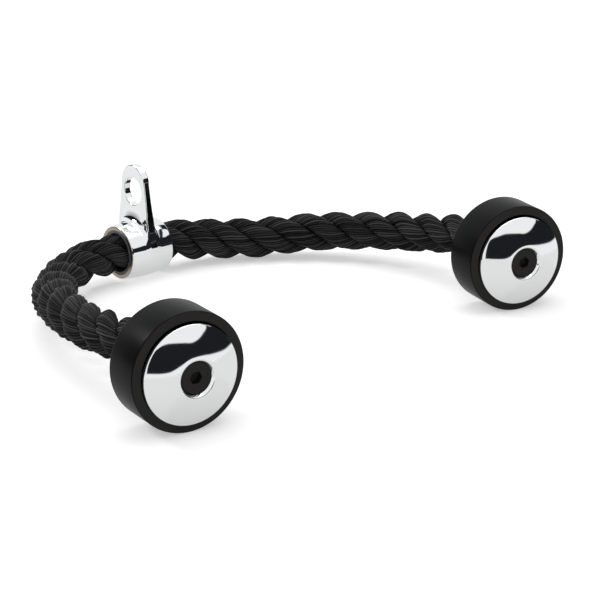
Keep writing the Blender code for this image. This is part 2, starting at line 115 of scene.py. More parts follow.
# A strand's yarns, with heights as shares of a yarn's depth: the ridge, how far each lies up or down, and the
# slow waves along it. Then the steps along the rope, and those of its map.
YARNS = 28
YARN_COLUMNS = 5
YARN_DEPTH = 1.35 * MM
RIDGE_FILL = 0.98
RIDGE_TOP = 1.3
LIFT_SPREAD = 0.42
LIFT_RANGE = (-0.9, 0.25)
SWAY_RATES = (0.9, 2.3, 4.7)
SWAY_SPREAD = (0.7, 1.3)
SWAY_HEIGHT = 0.10
RING_STEP = 1.6 * MM
MAP_STEP = 10 * MM

# Seeds for how the yarns lie in the arms, inside the bumpers and inside the collar.
ARM_SEED = 11
TAIL_SEED = 21
CORE_SEED = 31

# Where the strands inside collar and bumper join the arm's, how far the rope runs into the bumper, and where
# and how much its whipping draws it in.
COLLAR_JOIN = 10 * MM
BUMPER_JOIN = 1 * MM
JOIN_GAP = 0.05 * MM
ROPE_END_RUN = 15.0 * MM
WHIPPING_RUN = 7.3 * MM
WHIPPING_LEAD = 2 * MM
WHIPPING_EASE = 1 * MM
WHIPPED_SCALE = 0.955

# How much fuller the rope lies where nothing grips it, and the lengths over which it grows to that. The liner
# slides a little way out over it, so it stays thin for that far.
FULLNESS = 0.055
LINER_SLIDE = 5.5 * MM
MOUTH_EASE = 12 * MM
BUMPER_EASE = 8 * MM

# The further swelling that a bend gives the rope: how much, where along the arm, and over what length.
SWELL = {"left": (0.055, 0.140, 0.080), "right": (0.045, 0.060, 0.100)}

# The hanger, in millimetres from the collar's centre. First the collar, whose end faces are bare metal, also
# for a short way into the mouth.
COLLAR_CROWN = 1.8
COLLAR_BORE = 18.75
COLLAR_EDGE = 1.3
END_FACE_DEPTH = 0.4
BARE_MOUTH_DEPTH = 1.0
MOUTH_EDGE = 0.2

# The plate. It thickens from the first of two heights down to the second, and below a height of its own its
# middle flares out towards the weld.
PLATE_HALF = 3.2
PLATE_FOOT_HALF = 3.9
PLATE_THICKENS = (45.0, 24.0)
PLATE_FLARE = 0.011
PLATE_FLARE_TOP = 36.5
PLATE_FLARE_DROP = 14.0
PLATE_FLARE_WIDTH = 16.0
PLATE_EDGE = 0.95
PLATE_TOP_RADIUS = 15.3
PLATE_TOP_HEIGHT = 56.5
PLATE_FOOT_RADIUS = 22.8
PLATE_FOOT_HEIGHT = 3.0
PLATE_FOOT_EDGE = 3.0
EYELET_RADIUS = 11.3
EYELET_HEIGHT = 49.6
WELD_RADIUS = 4.5

# How its mesh is made, in millimetres: the grid, its margins, and the moves that settle it and even it out.
HANGER_GRID = 0.42
GRID_MARGINS = (1, 1.5, 1)
SLOPE_STEP = 0.01
SETTLING_PASSES = 4
LEAST_SLOPE = 0.05
LONGEST_MOVE = 0.5
EVENING_ROUNDS = 3
EVENING_SHARE = 0.5

# The liner.
LINER_RADIUS = 18.7 * MM
LINER_BORE = 16.2 * MM
LINER_HALF = 21.0 * MM
LINER_EDGE = 0.3 * MM
LINER_MOUTH_EDGE = 0.5 * MM
LINER_STEPS = 128

# The end fittings, with heights from the bumper's rear face. The dome leaves its first and last steps to the
# rounded edges there.
TURNED_STEPS = 192
FILLET_STEPS = 8
SHARP_DEGREES = 28
BUMPER_RADIUS = 42.5 * MM
BUMPER_LENGTH = 32.9 * MM
BUMPER_BORE = 16.2 * MM
BUMPER_LIP = 2.0 * MM
BUMPER_EDGE = 1.5 * MM
BUMPER_INNER_EDGE = 0.5 * MM
FRONT_FACING = 0.7
FERRULE_POCKET = 18.7 * MM
FERRULE_FRONT = 23.9 * MM
WASHER_POCKET = 22.3 * MM
DISC_SEAT = 25.9 * MM
DISC_REAR = 26.2 * MM
DISC_RADIUS = 35.35 * MM
RECESS_RADIUS = 35.7 * MM
DISC_SAG = 0.7 * MM
SCREW_SAG = 0.5 * MM
DISC_RIM = 35.9 * MM
DISC_LIP = 44.8 * MM
DISC_SKIRT = 31.75 * MM
DISC_HUB = 10.8 * MM
DISC_HOLLOW = 31.2 * MM
DISC_EDGE = 1.5 * MM
DOME_STEPS = 40
DOME_TOP_SKIP = 4
DOME_RIM_SKIP = 2
COUNTERBORE_RADIUS = 13.0 * MM
COUNTERBORE_EDGE = 1.4 * MM
COUNTERBORE_DEPTH = 2.3 * MM
COUNTERSINK_RADIUS = 11.6 * MM
SCREW_HOLE = 6.3 * MM

# The screw. Its head is flat between a margin round its rim and one round the hexagon socket.
HEAD_TOP = 42.4 * MM
HEAD_RADIUS = 11.3 * MM
HEAD_LAND = 0.6 * MM
HEAD_EDGE = 0.35 * MM
HEAD_EDGE_BULGE = 0.1 * MM
FLAT_MARGIN = 1.2 * MM
FLAT_MIDDLE = 2.2 * MM
THREAD_RADIUS = 6.0 * MM
THREAD_CHAMFER = 1.0 * MM
SCREW_STEPS = 96
SCREW_TIP = 15.9 * MM
SOCKET_HALF = 4.0 * MM
SOCKET_DEPTH = 4.8 * MM
SOCKET_STEP = 0.8 * MM
SOCKET_CONE = 1.6 * MM
SOCKET_DEGREES = {"left": 0, "right": 18}

# The model's own pieces inside the bumpers, and the material of each.
INNER_LOOKS = (("clamp_washer_", "steel"), ("end_ferrule_", "steel"), ("whipping_", "tape"))

# The rope's looks: a yarn's darkest and lightest colour, the painted shade in the gap between two
# yarns and how narrow it is, how much its own tone, its fibres and larger patches add up to, and what is
# taken off their sum.
YARN_DARK = (0.0032, 0.0031, 0.0033)
YARN_LIGHT = (0.088, 0.085, 0.087)
YARN_GAP_SHADE = (0.0012, 0.0012, 0.0012)
GAP_SHADE_POWER = 1.3
OWN_SHARE = 0.8
FIBRE_SHARE = 0.7
PATCH_SHARE = 0.3
TONE_CUT = 0.38
SHEEN_TINT = (1.0, 0.97, 0.94, 1)
FIBRES_ACROSS = 7.0
FIBRES_ALONG = 1.1

# What mirrors see of the studio: its tones, and its dark side in degrees, with azimuths from the photograph's
# side and the heights that its top and its foot have at some of them.
STUDIO_WHITE = (0.94, 0.95, 0.96)
STUDIO_DARK = (0.012, 0.013, 0.016)
DARK_FROM = -3.0
DARK_TO = 145.0
DARK_TOPS = (
    (-3, 21), (13, 23), (28, 25.5), (49, 22), (60, 19.5),
    (75, 22), (87, 26), (99, 36), (113, 43.5), (145, 44),
)
DARK_FEET = ((-3, -7), (26, -7), (45, 1), (60, 3), (75, 1), (100, -3), (145, -3))
DARK_SOFTNESS = 0.8

# The curves through those places span this much azimuth and height, from this far below 0.
CURVE_WIDTH = 160
CURVE_HEIGHT = 60
CURVE_BELOW = 10

# A low dark thing on the other side, between these azimuths and these heights.
LOW_DARK_FROM = -121.0
LOW_DARK_TO = -62.0
LOW_DARK_TOP = 38.0
LOW_DARK_FOOT = -3.0
LOW_DARK_SOFTNESS = 4.5

# The lamp that stands in the dark side: its middle, half its length and width, and its lean, in degrees. Its
# corners are cut where the shares of both halves add up to LAMP_CORNER.
LAMP_AZIMUTH = 108.5
LAMP_ELEVATION = 33.4
LAMP_HALF_LENGTH = 15.0
LAMP_HALF_WIDTH = 3.6
LAMP_LEAN = 30.0
LAMP_CORNER = 1.4
LAMP_SOFTNESS = 0.08

# The plain light that falls on everything, and the real lamps: name, place, target, width and power.
PLAIN_LIGHT = 0.55
LAMPS = (
    ("softbox", (0.3, 0.2, 1.5), (0, 0, 0), 1.6, 9),
    ("back_light", (-0.80, 1.05, 1.00), (-0.17, -0.12, 0.03), 0.35, 7),
)

# The floor, and what it adds for the camera, so that it is white outside the object's shadow. Far from the
# object, where less light falls on it, it adds more. Mirrors see it darker, and not at all further away.
FLOOR_HALF = 4
FLOOR_HEIGHT = -0.1 * MM
FLOOR_TONE = 0.88
FLOOR_GLOW = 0.42
FAR_GLOW = 0.13
FAR_FROM = 0.6
FAR_RUN = 1.2
MIRRORED_TONE = 0.35
MIRRORED_GLOW = 0.50
MIRRORED_REACH = 0.42
MIRRORED_FADE = 12


def add(name, data):
    """A new object of the scene."""
    found = bpy.data.objects.new(name, data)
    bpy.context.scene.collection.objects.link(found)
    return found


def mesh_object(name, points, faces):
    mesh = bpy.data.meshes.new(name)
    mesh.from_pydata(np.asarray(points).tolist(), [], list(faces))
    mesh.update()
    return add(name, mesh)


def add_camera():
    camera = add("camera", bpy.data.cameras.new("camera"))
    camera.data.sensor_width = SENSOR_WIDTH
    camera.data.lens = SENSOR_WIDTH * FOCAL_PIXELS / IMAGE_PIXELS
    x, y, z = CAMERA_PLACE
    camera.location = (COLLAR_CENTRE.x + x, COLLAR_CENTRE.y + y, z)
    camera.rotation_euler = (math.radians(90 + CAMERA_PITCH), 0, math.radians(CAMERA_HEADING - 90))
    camera.data.clip_start = CLIP_NEAR
    camera.data.clip_end = CLIP_FAR
    bpy.context.scene.camera = camera


def end_direction(side):
    """The direction that a rope end points in."""
    heading = math.radians(END_HEADING[side])
    return Vector((math.cos(heading), math.sin(heading), 0))


def end_matrix(side):
    """The end fitting's own frame: local Z outward, from the bumper's rear face."""
    x, y = END_PLACE[side]
    low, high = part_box("bumper_" + side)
    place = Matrix.Translation((COLLAR_CENTRE.x + x, COLLAR_CENTRE.y + y, (low.z + high.z) / 2))
    turn = Matrix.Rotation(math.radians(END_HEADING[side]), 4, "Z") @ Matrix.Rotation(math.pi / 2, 4, "Y")
    return place @ turn


def smooth_route(points, first_slope, last_slope):
    """Points close together on a smooth curve through the route's own points, as in the model."""
    last = len(points) - 1
    steps = [(points[i + 1] - points[i]).length for i in range(last)]
    slopes = [Vector(first_slope)]
    for i in range(1, last):
        before = (points[i] - points[i - 1]) / steps[i - 1]
        after = (points[i + 1] - points[i]) / steps[i]
        slopes.append((before * steps[i] + after * steps[i - 1]) / (steps[i - 1] + steps[i]))
    slopes.append(Vector(last_slope))
    found = []
    per_step = ROUTE_STEPS // last
    for i in range(last):
        for k in range(per_step):
            t = k / per_step
            rise = t * t * (3 - 2 * t)
            leave = t * (1 - t) * (1 - t) * steps[i]
            arrive = t * t * (t - 1) * steps[i]
            found.append(points[i].lerp(points[i + 1], rise) + slopes[i] * leave + slopes[i + 1] * arrive)
    found.append(points[last])
    return found


def arm_route(side):
    """An arm's centreline from inside the collar to just inside the bumper."""
    out = Vector((SIDES[side], 0, 0))
    way = end_direction(side)
    flat = Vector((COLLAR_CENTRE.x, COLLAR_CENTRE.y, 0))
    through = [flat + Vector(point) for point in ROUTES[side]]
    mouth = COLLAR_CENTRE + out * (COLLAR_HALF + CLEARANCE)
    rear = end_matrix(side).translation
    finish = rear - way * CLEARANCE
    curved = smooth_route([mouth + out * ROPE_STRAIGHT, *through, finish - way * ROPE_STRAIGHT], out, way)
    return [COLLAR_CENTRE + out * COLLAR_JOIN, mouth, *curved, rear + way * BUMPER_JOIN]


def distances(points):
    """How far along the route each of its points is."""
    return np.concatenate([[0], np.cumsum(np.linalg.norm(np.diff(points, axis=0), axis=1))])


def evenly(points, step):
    """The route as an array at even steps of about the given length, and each point's distance along it."""
    points = np.array([tuple(point) for point in points])
    run = distances(points)
    count = max(2, round(run[-1] / step))
    along = np.linspace(0, run[-1], count + 1)
    return np.stack([np.interp(along, run, points[:, i]) for i in range(3)], axis=1), along


def rising(share):
    """From 0 to 1 with a soft start and end, as the share goes from 0 to 1."""
    share = np.clip(share, 0, 1)
    return share * share * (3 - 2 * share)


def eased(points, passes):
    """The same points with the small kinks between their spans rubbed out, both ends kept."""
    points = points.copy()
    for _ in range(passes):
        points[1:-1] = (points[:-2] + 2 * points[1:-1] + points[2:]) / 4
    return points


def frames_along(points, start_side):
    """Two directions across the route at each point, carried along it without twist."""
    ways = np.gradient(points, axis=0)
    ways /= np.linalg.norm(ways, axis=1, keepdims=True)
    side = np.array(start_side, float)
    sides = []
    for way in ways:
        side = side - way * (side @ way)
        side /= np.linalg.norm(side)
        sides.append(side)
    sides = np.array(sides)
    return sides, np.cross(ways, sides)


def strand_section(angle):
    """How far a strand reaches from its own middle at this angle, 0 being straight out of the rope.

    It is round outside and has a flat wall against each of the other two, softly joined.
    """
    half_sector = math.pi / STRANDS
    reach = np.full_like(angle, STRAND_RADIUS)
    soft = STRAND_SOFTNESS * STRAND_RADIUS
    for sign in (1, -1):
        toward = np.sin(sign * angle - half_sector)
        wall = (STRAND_OFFSET * math.sin(half_sector) - STRAND_GAP) / np.maximum(toward, 1e-6)
        wall = np.where(toward > WALL_FACING, wall, 10 * STRAND_RADIUS)
        share = np.clip(0.5 + (wall - reach) / (2 * soft), 0, 1)
        reach = wall + (reach - wall) * share - soft * share * (1 - share)
    return reach


def strand_points(centres, sides, ups, turn, twist, scale, random):
    """Rings of one strand. turn is the strand's angle round the rope, twist its yarns' own turning."""
    columns = YARNS * YARN_COLUMNS
    place = np.arange(columns)
    yarn = place // YARN_COLUMNS
    within = (place % YARN_COLUMNS) / YARN_COLUMNS * 2 - 1
    ridge = np.sqrt(np.clip(1 - (RIDGE_FILL * within) ** 2, 0, 1))
    angle = math.tau * place[None, :] / columns - twist[:, None]
    angle = (angle + math.pi) % math.tau - math.pi
    lift = np.clip(random.normal(0, LIFT_SPREAD, YARNS), *LIFT_RANGE)[yarn][None, :]
    sway = np.zeros_like(angle)
    for rate in SWAY_RATES:
        phase = random.uniform(0, math.tau, YARNS)[yarn][None, :]
        pace = random.uniform(*SWAY_SPREAD, YARNS)[yarn][None, :] * rate
        sway += np.sin(turn[:, None] * pace + phase) * SWAY_HEIGHT
    reach = strand_section(angle) + (ridge[None, :] - RIDGE_TOP + lift + sway) * YARN_DEPTH
    whole = turn[:, None] + angle
    u = (STRAND_OFFSET * np.cos(turn)[:, None] + reach * np.cos(whole)) * scale[:, None]
    v = (STRAND_OFFSET * np.sin(turn)[:, None] + reach * np.sin(whole)) * scale[:, None]
    return centres[:, None, :] + u[..., None] * sides[:, None, :] + v[..., None] * ups[:, None, :]


def rope_object(name, centres, turn, start_side, scale, seed, material):
    """Three strands along the route as one mesh, with a map whose u counts yarns and v runs along them."""
    random = np.random.default_rng(seed)
    sides, ups = frames_along(centres, start_side)
    along = distances(centres)
    columns = YARNS * YARN_COLUMNS
    rings = len(centres)
    twist = turn * (STRAND_OFFSET + STRAND_RADIUS) / STRAND_RADIUS
    points, faces, maps = [], [], []
    for strand in range(STRANDS):
        start = strand * rings * columns
        own = turn + math.tau * strand / STRANDS
        points.append(strand_points(centres, sides, ups, own, twist, scale, random).reshape(-1, 3))
        ring = np.arange(rings - 1)[:, None] * columns
        column = np.arange(columns)[None, :]
        after = (column + 1) % columns
        quads = np.stack([ring + column, ring + after, ring + columns + after, ring + columns + column], -1)
        faces += (quads.reshape(-1, 4) + start).tolist()
        across = np.stack([column, column + 1, column + 1, column], -1) / YARN_COLUMNS + strand * 2 * YARNS
        across = np.broadcast_to(across, (rings - 1, columns, 4))
        length = np.stack([along[:-1], along[:-1], along[1:], along[1:]], -1)[:, None, :] / MAP_STEP
        length = np.broadcast_to(length, (rings - 1, columns, 4))
        maps.append(np.stack([across, length], -1).reshape(-1, 2))
        last = start + (rings - 1) * columns
        faces.append(list(range(start + columns - 1, start - 1, -1)))
        faces.append(list(range(last, last + columns)))
        maps.append(np.zeros((2 * columns, 2)))
    rope = mesh_object(name, np.concatenate(points), faces)
    places = np.concatenate(maps).astype(np.float32).ravel()
    rope.data.uv_layers.new(name="yarns").data.foreach_set("uv", places)
    rope.data.shade_smooth()
    rope.data.materials.append(material)
    return rope


def lay_drift(side, along):
    """The angle by which the strands lag behind an even lay at each distance along an arm."""
    places, shares = zip(*LAY_DRIFT[side])
    drift = np.interp(along, places, shares)[:, None]
    return eased(drift, DRIFT_PASSES)[:, 0] * math.tau / STRANDS


def add_rope(materials):
    """Both arms, the stretch inside the collar and the stretches inside the bumpers."""
    yarn = materials["rope"]
    for side, sign in SIDES.items():
        centres, along = evenly(arm_route(side), RING_STEP)
        centres = eased(centres, ROUTE_PASSES)
        turn = LAY_PHASE[side] + math.tau * along / LAY_LENGTH[side] - lay_drift(side, along)
        most, middle, spread = SWELL[side]
        free = rising((along - COLLAR_HALF + COLLAR_JOIN - LINER_SLIDE) / MOUTH_EASE)
        free *= rising((along[-1] - BUMPER_JOIN - along) / BUMPER_EASE)
        scale = 1 + free * (FULLNESS + most * np.exp(-(((along - middle) / spread) ** 2)))
        rope = rope_object("rope_strands_" + side, centres, turn, (0, 0, 1), scale, ARM_SEED + sign, yarn)
        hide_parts("rope_" + side)
        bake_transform(rope)

        way = end_direction(side)
        rear = end_matrix(side).translation
        inside = [rear + way * (BUMPER_JOIN + JOIN_GAP), rear + way * ROPE_END_RUN]
        tail, run = evenly(inside, RING_STEP)
        whipped = np.clip((run - WHIPPING_RUN + WHIPPING_LEAD) / WHIPPING_EASE, 0, 1)
        scale = 1 - (1 - WHIPPED_SCALE) * whipped
        sides, _ = frames_along(centres, (0, 0, 1))
        end_turn = turn[-1] + math.tau * (run + JOIN_GAP) / LAY_LENGTH[side]
        piece = rope_object("rope_tail_" + side, tail, end_turn, sides[-1], scale, TAIL_SEED + sign, yarn)
        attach(piece, side + "_arm")
        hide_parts("rope_end_" + side)

    reach = COLLAR_JOIN - JOIN_GAP
    core, run = evenly([COLLAR_CENTRE + Vector((end * reach, 0, 0)) for end in (-1, 1)], RING_STEP)
    turn = LAY_PHASE["right"] + math.tau * (run - 2 * reach) / LAY_LENGTH["right"]
    piece = rope_object("rope_core_strands", core, turn, (0, 0, 1), np.ones(len(core)), CORE_SEED, yarn)
    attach(piece, "rope_core")
    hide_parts("rope_middle")


def intersected(a, b, rounding):
    """The solid inside both of two distance fields, with a rounded edge between them."""
    a, b = a + rounding, b + rounding
    return np.minimum(np.maximum(a, b), 0) + np.hypot(np.maximum(a, 0), np.maximum(b, 0)) - rounding


def united(a, b, fillet):
    """The solid inside either of two distance fields, with a hollow fillet between them."""
    near, far = np.maximum(fillet - a, 0), np.maximum(fillet - b, 0)
    return np.maximum(fillet, np.minimum(a, b)) - np.hypot(near, far)


def hanger_field(points):
    """Signed distance to the hanger's surface, in millimetres, at points from the collar's centre."""
    x, y, z = points[..., 0], points[..., 1], points[..., 2]
    radius = np.hypot(y, z)
    half = COLLAR_HALF / MM
    crown = COLLAR_RADIUS / MM - COLLAR_CROWN * (x / half) ** 2
    collar = intersected(radius - crown, np.abs(x) - half, COLLAR_EDGE)

    lean = (PLATE_FOOT_RADIUS - PLATE_TOP_RADIUS) / PLATE_TOP_HEIGHT
    upright = math.sqrt(1 - lean * lean)
    side = np.abs(y)
    flat = np.where(
        z * upright - side * lean > upright * PLATE_TOP_HEIGHT,
        np.hypot(y, z - PLATE_TOP_HEIGHT) - PLATE_TOP_RADIUS,
        side * upright + z * lean - PLATE_FOOT_RADIUS,
    )
    flat = np.maximum(flat, EYELET_RADIUS - np.hypot(y, z - EYELET_HEIGHT))
    top, foot = PLATE_THICKENS
    half_thick = PLATE_HALF + (PLATE_FOOT_HALF - PLATE_HALF) * rising((top - z) / (top - foot))
    middle = np.clip(1 - (y / PLATE_FLARE_WIDTH) ** 2, 0, 1)
    half_thick = half_thick + PLATE_FLARE * middle * np.clip(PLATE_FLARE_TOP - z, 0, PLATE_FLARE_DROP) ** 2
    plate = intersected(flat, np.abs(x) - half_thick, PLATE_EDGE)
    plate = intersected(plate, PLATE_FOOT_HEIGHT - z, PLATE_FOOT_EDGE)

    return intersected(united(collar, plate, WELD_RADIUS), COLLAR_BORE - radius, MOUTH_EDGE)


def field_slope(field, points):
    slope = np.empty_like(points)
    for axis in range(3):
        shift = np.zeros(3)
        shift[axis] = SLOPE_STEP
        slope[..., axis] = (field(points + shift) - field(points - shift)) / (2 * SLOPE_STEP)
    return slope


def field_mesh(field, low, high, spacing):
    """The field's zero surface as points and quads: one point in each grid cell that the surface crosses."""
    ticks = [np.arange(low[i], high[i] + spacing, spacing) for i in range(3)]
    grid = np.stack(np.meshgrid(*ticks, indexing="ij"), -1)
    value = field(grid)
    inside = value < 0
    shape = tuple(n - 1 for n in value.shape)
    total = np.zeros((*shape, 3))
    count = np.zeros(shape)

    def part(array, offset):
        return array[tuple(slice(o, o + n) for o, n in zip(offset, shape))]

    for axis in range(3):
        others = [a for a in range(3) if a != axis]
        for first in (0, 1):
            for second in (0, 1):
                start = [0, 0, 0]
                start[others[0]], start[others[1]] = first, second
                end = list(start)
                end[axis] = 1
                one, two = part(value, start), part(value, end)
                crossed = part(inside, start) != part(inside, end)
                share = np.where(crossed, one / np.where(crossed, one - two, 1), 0)
                for i in range(3):
                    place = start[i] + (share if i == axis else 0)
                    total[..., i] += np.where(crossed, place, 0)
                count += crossed
    active = count > 0
    number = np.full(shape, -1)
    number[active] = np.arange(active.sum())
    cell = np.stack(np.nonzero(active), -1)
    points = (cell + total[active] / count[active][:, None]) * spacing + np.array(low)

    quads = []
    for axis in range(3):
        others = [a for a in range(3) if a != axis]
        ahead = [slice(None)] * 3
        behind = [slice(None)] * 3
        ahead[axis], behind[axis] = slice(1, None), slice(None, -1)
        change = inside[tuple(behind)] != inside[tuple(ahead)]
        for i in others:
            keep = [slice(None)] * 3
            keep[i] = slice(1, -1)
            change = change[tuple(keep)]
        where = np.stack(np.nonzero(change), -1)
        for i in others:
            where[:, i] += 1
        around = []
        for first, second in ((1, 1), (0, 1), (0, 0), (1, 0)):
            spot = where.copy()
            spot[:, others[0]] -= first
            spot[:, others[1]] -= second
            around.append(number[tuple(spot.T)])
        around = np.stack(around, -1)
        leaving = inside[tuple(where.T)]
        flip = leaving if axis == 1 else ~leaving
        around[flip] = around[flip][:, ::-1]
        quads.append(around)
    return points, np.concatenate(quads)


def settled(field, points):
    """The points moved along the field's slope onto its zero surface."""
    for _ in range(SETTLING_PASSES):
        slope = field_slope(field, points)
        size = np.maximum((slope**2).sum(-1), LEAST_SLOPE)
        move = -field(points) / size
        points = points + slope * np.clip(move, -LONGEST_MOVE, LONGEST_MOVE)[:, None]
    return points


def spread_points(points, faces, share):
    """The points drawn towards the middle of the faces round them, which evens out the mesh."""
    middles = points[faces].mean(1)
    total = np.zeros_like(points)
    count = np.zeros(len(points))
    for corner in range(faces.shape[1]):
        np.add.at(total, faces[:, corner], middles)
        np.add.at(count, faces[:, corner], 1)
    return points + (total / count[:, None] - points) * share


def add_hanger(materials):
    """Collar, weld and eyelet plate as the one piece that welding and plating make of them."""
    half, radius = COLLAR_HALF / MM, COLLAR_RADIUS / MM
    top = PLATE_TOP_HEIGHT + PLATE_TOP_RADIUS
    low = [-reach - margin for reach, margin in zip((half, radius, radius), GRID_MARGINS)]
    high = [reach + margin for reach, margin in zip((half, radius, top), GRID_MARGINS)]
    points, faces = field_mesh(hanger_field, low, high, HANGER_GRID)
    for _ in range(EVENING_ROUNDS):
        points = settled(hanger_field, spread_points(points, faces, EVENING_SHARE))
    hanger = mesh_object("chromed_hanger", points * MM + np.array(COLLAR_CENTRE), faces.tolist())
    slope = field_slope(hanger_field, points)
    slope /= np.maximum(np.linalg.norm(slope, axis=1, keepdims=True), 1e-9)
    hanger.data.shade_smooth()
    hanger.data.normals_split_custom_set_from_vertices(slope.tolist())
    hanger.data.materials.append(materials["chrome"])
    hanger.data.materials.append(materials["bare_edge"])
    middles = points[faces].mean(1)
    out, across = np.abs(middles[:, 0]), np.hypot(middles[:, 1], middles[:, 2])
    mouth = (out > half - BARE_MOUTH_DEPTH) & (across < COLLAR_BORE + END_FACE_DEPTH)
    bare = (out > half - END_FACE_DEPTH) | mouth
    hanger.data.polygons.foreach_set("material_index", bare.astype(np.int32))
    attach(hanger, "hanger")
    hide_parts("hanger_collar", "eyelet_plate")


def filleted(corners):
    """A closed outline through (radius, height, fillet radius) corners, with each fillet as a fine arc."""
    points = []
    for i, (radius, height, fillet) in enumerate(corners):
        corner = Vector((radius, height))
        if not fillet:
            points.append(corner)
            continue
        before = (Vector(corners[i - 1][:2]) - corner).normalized()
        after = (Vector(corners[(i + 1) % len(corners)][:2]) - corner).normalized()
        half = before.angle(after) / 2
        reach = fillet / math.tan(half)
        centre = corner + (before + after).normalized() * (fillet / math.sin(half))
        start = corner + before * reach - centre
        sweep = start.angle_signed(corner + after * reach - centre)
        for step in range(FILLET_STEPS + 1):
            points.append(centre + Matrix.Rotation(-sweep * step / FILLET_STEPS, 2) @ start)
    return [(point.x, point.y) for point in points]


def join_rings(form, ring, other):
    """Faces between two rings of vertices, either of which may be a single vertex in the middle."""
    steps = max(len(ring), len(other))
    for step in range(steps):
        after = (step + 1) % steps
        if len(ring) == 1:
            form.faces.new((ring[0], other[after], other[step]))
        elif len(other) == 1:
            form.faces.new((ring[step], ring[after], other[0]))
        else:
            form.faces.new((ring[step], ring[after], other[after], other[step]))


def turned(name, outline, place, steps=TURNED_STEPS):
    """A solid turned about its local Z from a closed outline of (radius, height) points."""
    form = bmesh.new()
    angles = [math.tau * step / steps for step in range(steps)]
    rings = []
    for radius, height in outline:
        spots = [(radius * math.cos(angle), radius * math.sin(angle), height) for angle in angles]
        rings.append([form.verts.new(spot) for spot in spots])
    for i, ring in enumerate(rings):
        join_rings(form, ring, rings[(i + 1) % len(rings)])
    return finished(form, name, place)


def finished(form, name, place):
    """The bmesh as a placed object with outward faces and sharp edges where it turns sharply."""
    bmesh.ops.recalc_face_normals(form, faces=form.faces)
    form.transform(place)
    mesh = bpy.data.meshes.new(name)
    form.to_mesh(mesh)
    form.free()
    found = add(name, mesh)
    mesh.shade_smooth()
    mesh.set_sharp_from_angle(angle=math.radians(SHARP_DEGREES))
    return found


def settle_piece(piece, material, body, slot, *nodes):
    """The piece's material, the body that it rides on and the nodes that it replaces. Its slot is not used.
    """
    piece.data.materials.append(material)
    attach(piece, body)
    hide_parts(*nodes)


def add_liner(materials):
    outline = filleted([
        (LINER_RADIUS, LINER_HALF, LINER_EDGE),
        (LINER_RADIUS, -LINER_HALF, LINER_EDGE),
        (LINER_BORE, -LINER_HALF, LINER_MOUTH_EDGE),
        (LINER_BORE, LINER_HALF, LINER_MOUTH_EDGE),
    ])
    place = Matrix.Translation(COLLAR_CENTRE) @ Matrix.Rotation(math.pi / 2, 4, "Y")
    piece = turned("liner_sleeve", outline, place, LINER_STEPS)
    settle_piece(piece, materials["liner"], "liner", "liner", "collar_liner")


def add_bumper(side, materials):
    outline = filleted([
        (BUMPER_RADIUS, BUMPER_LENGTH, BUMPER_EDGE),
        (BUMPER_RADIUS, 0, BUMPER_EDGE),
        (BUMPER_BORE, 0, BUMPER_INNER_EDGE),
        (BUMPER_BORE, BUMPER_LIP, 0),
        (FERRULE_POCKET, BUMPER_LIP, 0),
        (FERRULE_POCKET, FERRULE_FRONT, 0),
        (WASHER_POCKET, FERRULE_FRONT, 0),
        (WASHER_POCKET, DISC_SEAT, 0),
        (RECESS_RADIUS, DISC_SEAT, 0),
        (RECESS_RADIUS, BUMPER_LENGTH, BUMPER_INNER_EDGE),
    ])
    piece = turned("rubber_bumper_" + side, outline, end_matrix(side))
    settle_piece(piece, materials["rubber"], side + "_arm", "rubber", "bumper_" + side)
    piece.data.materials.append(materials["rubber_front"])
    way = end_direction(side)
    for face in piece.data.polygons:
        face.material_index = int(face.normal.dot(way) > FRONT_FACING)


def add_disc(side, materials):
    """The domed disc: a spherical front from its rim to the counterbore, and a hollow back."""
    rise = DISC_RIM - DISC_LIP
    centre = ((DISC_RIM**2 + DISC_RADIUS**2) - (DISC_LIP**2 + COUNTERBORE_RADIUS**2)) / (2 * rise)
    dome = math.hypot(COUNTERBORE_RADIUS, DISC_LIP - centre)
    low, high = math.asin(DISC_RADIUS / dome), math.asin(COUNTERBORE_RADIUS / dome)
    corners = [(COUNTERBORE_RADIUS, DISC_LIP, COUNTERBORE_EDGE)]
    for step in range(DOME_TOP_SKIP, DOME_STEPS - DOME_RIM_SKIP):
        angle = high + (low - high) * step / DOME_STEPS
        corners.append((dome * math.sin(angle), centre + dome * math.cos(angle), 0))
    seat = HEAD_TOP - HEAD_LAND - CLEARANCE
    corners += [
        (DISC_RADIUS, DISC_RIM, DISC_EDGE),
        (DISC_RADIUS, DISC_REAR, 0),
        (DISC_SKIRT, DISC_REAR, 0),
        (DISC_SKIRT, DISC_HOLLOW, 0),
        (DISC_HUB, DISC_HOLLOW, 0),
        (DISC_HUB, DISC_REAR, 0),
        (SCREW_HOLE, DISC_REAR, 0),
        (SCREW_HOLE, seat - (COUNTERSINK_RADIUS - SCREW_HOLE), 0),
        (COUNTERSINK_RADIUS, seat, 0),
        (COUNTERSINK_RADIUS, DISC_LIP - COUNTERBORE_DEPTH, 0),
    ]
    place = Matrix.Translation((0, 0, -DISC_SAG)) @ end_matrix(side)
    piece = turned("domed_disc_" + side, filleted(corners), place)
    settle_piece(piece, materials["chrome"], side + "_arm", "chrome", "cover_disc_" + side)


